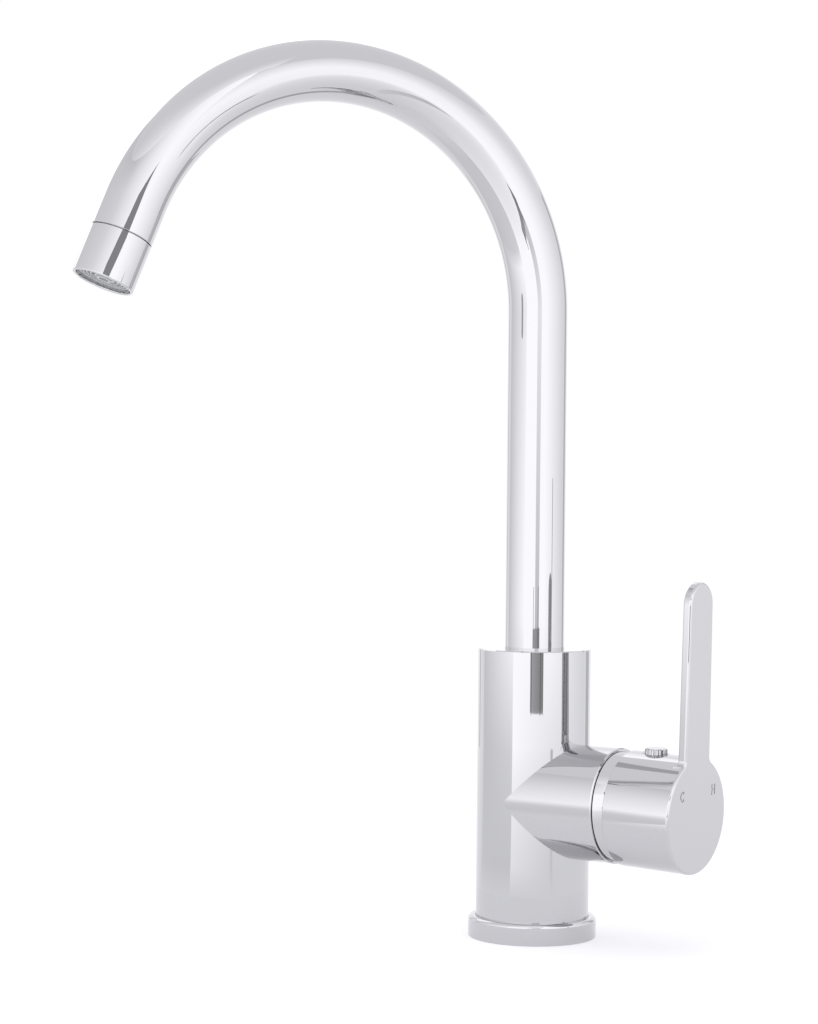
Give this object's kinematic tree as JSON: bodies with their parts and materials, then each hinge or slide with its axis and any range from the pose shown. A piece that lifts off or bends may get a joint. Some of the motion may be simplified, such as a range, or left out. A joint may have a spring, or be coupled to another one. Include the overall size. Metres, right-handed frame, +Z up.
{
  "type": "three way filtered water tap",
  "caption": "Chromed kitchen mixer tap with a swivelling gooseneck spout, a tilting and turning side lever, and a separate inner way for filtered water.",
  "frame": {"origin": "centre of the base flange's underside, on the worktop", "axes": "+Z up the column, +X out along the side branch and lever hub, the user at -Y; the spout stands at 242 degrees from +X at rest"},
  "size_m": [0.1849, 0.2097, 0.3697],
  "materials": {
    "polished_chrome": "mirror-polished chrome plate",
    "brass": "machined",
    "stainless_steel": "turned",
    "black_rubber": "moulded matt",
    "grey_plastic": "moulded",
    "white_plastic": "moulded",
    "white_ceramic": "lapped ceramic"
  },
  "bodies": {
    "tap_base": {"tap_body": "polished_chrome", "base_flange": "polished_chrome", "base_gasket": "black_rubber", "thrust_washer": "white_plastic", "spout_retaining_screw": "stainless_steel", "cartridge_housing": "grey_plastic", "cartridge_base": "white_plastic", "base_seals": "black_rubber", "fixed_ceramic_disc": "white_ceramic", "turret_washer": "white_plastic", "cartridge_nut": "brass", "dome_ring": "polished_chrome", "dome_seal": "black_rubber"},
    "spout": {"spout_tube": "polished_chrome", "spout_foot": "brass", "spout_bearing_rings": "white_plastic", "spout_o_rings": "black_rubber", "filtered_tube": "white_plastic", "filtered_tube_plug": "brass", "plug_o_rings": "black_rubber", "nozzle_core": "brass", "nozzle_sleeve": "polished_chrome", "aerator_seal": "black_rubber", "aerator_housing": "grey_plastic", "aerator_screen": "stainless_steel", "filtered_jet": "white_plastic"},
    "valve_turret": {"cartridge_turret": "white_plastic", "pivot_pin": "stainless_steel"},
    "flow_disc": {"moving_ceramic_disc": "white_ceramic", "disc_carrier": "grey_plastic"},
    "lever": {"lever_handle": "polished_chrome", "lever_stem": "stainless_steel", "handle_set_screw": "stainless_steel", "set_screw_plug": "polished_chrome", "button_bezel": "polished_chrome", "button_spring": "stainless_steel"},
    "button": {"catch_button": "polished_chrome"}
  },
  "joints": [
    {"name": "spout_swivel", "type": "hinge", "parent": "tap_base", "child": "spout", "pos_m": [0, 0, 0.105], "axis": [0, 0, 1], "continuous": true},
    {"name": "lever_turn", "type": "hinge", "parent": "tap_base", "child": "valve_turret", "pos_m": [0.036, 0, 0.0582], "axis": [1, 0, 0], "range_deg": [-46.5, 43.5]},
    {"name": "lever_tilt", "type": "hinge", "parent": "valve_turret", "child": "lever", "pos_m": [0.036, 0, 0.0582], "axis": [0, 0.9997, 0.0262], "range_deg": [-11.9, 18.1]},
    {"name": "disc_slide", "type": "slide", "parent": "valve_turret", "child": "flow_disc", "axis": [0, -0.0262, 0.9997], "range_m": [-0.0042, 0.0064]},
    {"name": "button_press", "type": "slide", "parent": "lever", "child": "button", "axis": [-0.0332, 0.0262, -0.9991], "range_m": [0, 0.0015], "stiffness_N_per_m": 300, "springref_m": -0.004, "deforming": ["button_spring"]}
  ],
  "couplings": [
    {"joint": "disc_slide", "follows": "lever_tilt", "m_per_rad": 0.0197}
  ]
}
